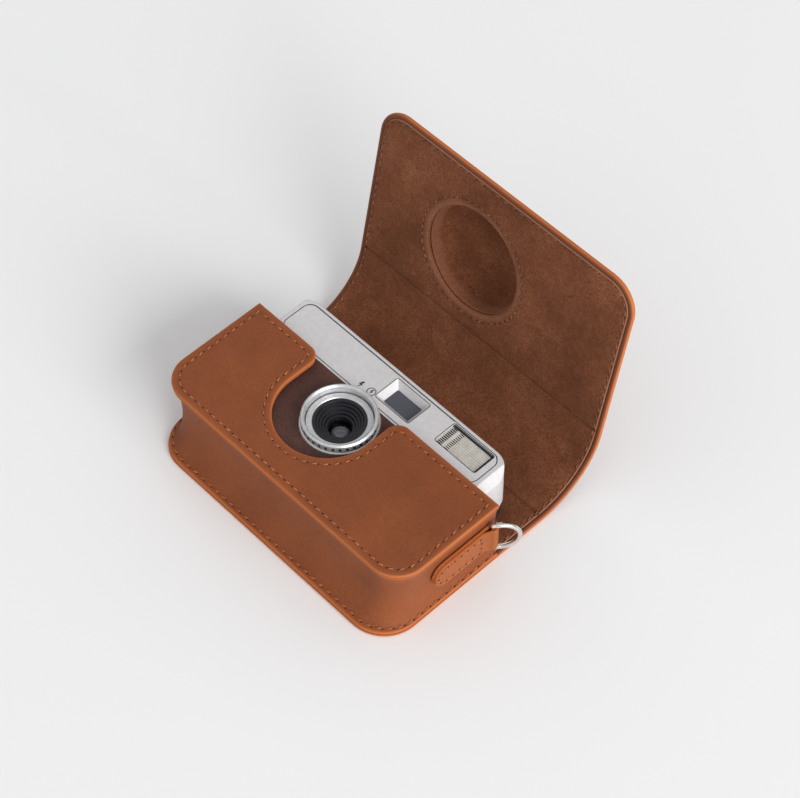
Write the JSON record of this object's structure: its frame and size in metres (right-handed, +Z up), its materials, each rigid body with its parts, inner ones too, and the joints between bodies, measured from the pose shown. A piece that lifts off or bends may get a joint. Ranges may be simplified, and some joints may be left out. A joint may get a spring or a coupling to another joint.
{
  "type": "half frame film camera in a leather case",
  "caption": "Compact half frame film camera with fixed lens and flash, seated in a tan leather case whose suede lined flap folds over it with a dome for the lens.",
  "frame": {"origin": "on the resting face of the case, midway along its back panel and on its centre line", "axes": "+X along the camera width to its right side seen from the front, +Y towards the fold of the flap, +Z up from the table, out of the lens"},
  "size_m": [0.1414, 0.1309, 0.0953],
  "materials": {
    "tan_leather": "fine grained, semi-matt",
    "suede": "soft brown suede",
    "nickel": "polished",
    "magnet": "plated",
    "silver_paint": "satin silver",
    "ring_silver": "satin",
    "brown_leatherette": "embossed",
    "black_plastic": "fine texture",
    "matt_black_inside": "matt",
    "white_dial": "matt",
    "steel": "bright",
    "seal_foam": "foam",
    "clear_plastic": "clear",
    "lens_glass": "coated",
    "reflector": "bright",
    "circuit_board": "solder mask",
    "capacitor_sleeve": "shrink sleeve",
    "cell_sleeve": "plain sleeve",
    "amber_lamp": "clear amber"
  },
  "bodies": {
    "case": {"case_back_panel": "tan_leather", "case_back_lining": "suede", "case_front_panel": "tan_leather", "front_panel_lining": "suede", "case_gusset": "tan_leather", "gusset_lining": "suede", "panel_magnets": "magnet", "d_ring_tab_left": "tan_leather", "d_ring_tab_right": "tan_leather"},
    "strip": {"case_top_strip": "tan_leather", "strip_lining": "suede"},
    "flap": {"case_flap": "tan_leather", "flap_lining": "suede", "flap_dome": "tan_leather", "dome_lining": "suede", "flap_magnets": "magnet"},
    "ring_left": {"d_ring_left": "nickel"},
    "ring_right": {"d_ring_right": "nickel"},
    "flash_switch": {"lens_ring": "ring_silver"},
    "release": {"shutter_button": "silver_paint"},
    "advance": {"advance_wheel": "black_plastic", "take_up_spool": "matt_black_inside"},
    "sprocket": {"sprocket_shaft": "matt_black_inside"},
    "counter": {"counter_dial": "white_dial"},
    "rewind": {"rewind_fork": "matt_black_inside", "rewind_knob": "black_plastic", "rewind_crank_lever": "silver_paint"},
    "rewind_release": {"rewind_release_button": "black_plastic"},
    "latch": {"door_latch": "black_plastic"},
    "blade": {"shutter_blade": "steel"},
    "camera": {"back_door": "black_plastic", "battery": "cell_sleeve", "battery_contacts": "steel", "battery_cover": "black_plastic", "counter_window": "clear_plastic", "door_hinge_pin": "steel", "door_light_seals": "seal_foam", "film_chassis": "matt_black_inside", "flash_board": "circuit_board", "flash_capacitor": "capacitor_sleeve", "flash_cover": "clear_plastic", "flash_reflector": "reflector", "flash_tube": "lens_glass", "front_lens": "lens_glass", "front_shell": "silver_paint", "leatherette_front": "brown_leatherette", "lens_barrel": "matt_black_inside", "lens_bezel": "ring_silver", "pressure_plate": "matt_black_inside", "pressure_spring": "steel", "ready_lamp": "amber_lamp", "rear_lens": "lens_glass", "rear_shell": "black_plastic", "shell_screws": "steel", "shutter_plate": "matt_black_inside", "strap_lug": "nickel", "top_faceplate": "silver_paint", "viewfinder_eyepiece": "clear_plastic", "viewfinder_front_window": "clear_plastic", "viewfinder_tunnel": "matt_black_inside"}
  },
  "joints": [
    {"name": "strip_fold", "type": "hinge", "parent": "case", "child": "strip", "pos_m": [0, 0.04, 0.0024], "axis": [1, 0, 0], "range_deg": [0, 51.5]},
    {"name": "flap_fold", "type": "hinge", "parent": "strip", "child": "flap", "pos_m": [0, 0.06792, 0.02722], "axis": [1, 0, 0], "range_deg": [-75, 52.9]},
    {"name": "d_ring_left_swing", "type": "hinge", "parent": "case", "child": "ring_left", "pos_m": [-0.0637, 0.0132, 0.019], "axis": [0, 0, 1], "range_deg": [-38, 128]},
    {"name": "d_ring_right_swing", "type": "hinge", "parent": "case", "child": "ring_right", "pos_m": [0.0637, 0.0132, 0.019], "axis": [0, 0, 1], "range_deg": [-128, 38]},
    {"name": "camera_draw_out", "type": "slide", "parent": "case", "child": "camera", "axis": [0, -1, 0], "range_m": [-0.01, 0]},
    {"name": "lens_ring_turn", "type": "hinge", "parent": "camera", "child": "flash_switch", "pos_m": [-0.0044, 0.0027, 0.031], "axis": [0, 0, 1], "range_deg": [0, 30]},
    {"name": "shutter_button_press", "type": "slide", "parent": "camera", "child": "release", "axis": [0, -1, 0], "range_m": [0, 0.001], "stiffness_N_per_m": 300},
    {"name": "advance_wheel_turn", "type": "hinge", "parent": "camera", "child": "advance", "pos_m": [-0.0415, 0.0027, 0.0134], "axis": [0, 1, 0], "continuous": true},
    {"name": "sprocket_turn", "type": "hinge", "parent": "camera", "child": "sprocket", "pos_m": [-0.0251, 0.0027, 0.01265], "axis": [0, 1, 0], "continuous": true},
    {"name": "counter_turn", "type": "hinge", "parent": "camera", "child": "counter", "pos_m": [-0.0251, 0.0302, 0.01265], "axis": [0, 1, 0], "continuous": true},
    {"name": "rewind_crank_turn", "type": "hinge", "parent": "camera", "child": "rewind", "pos_m": [0.0375, -0.026, 0.0169], "axis": [0, 1, 0], "continuous": true},
    {"name": "rewind_release_press", "type": "slide", "parent": "camera", "child": "rewind_release", "axis": [0, 1, 0], "range_m": [0, 0.001], "stiffness_N_per_m": 300},
    {"name": "door_latch_slide", "type": "slide", "parent": "camera", "child": "latch", "axis": [0, 1, 0], "range_m": [0, 0.003]},
    {"name": "shutter_blade_swing", "type": "hinge", "parent": "camera", "child": "blade", "pos_m": [0.0036, 0.0027, 0.0201], "axis": [0, 0, 1], "range_deg": [0, 38], "stiffness_Nm_per_rad": 0.0004}
  ],
  "couplings": [
    {"joint": "sprocket_turn", "follows": "advance_wheel_turn", "ratio": -0.909},
    {"joint": "counter_turn", "follows": "advance_wheel_turn", "ratio": 0.024}
  ]
}
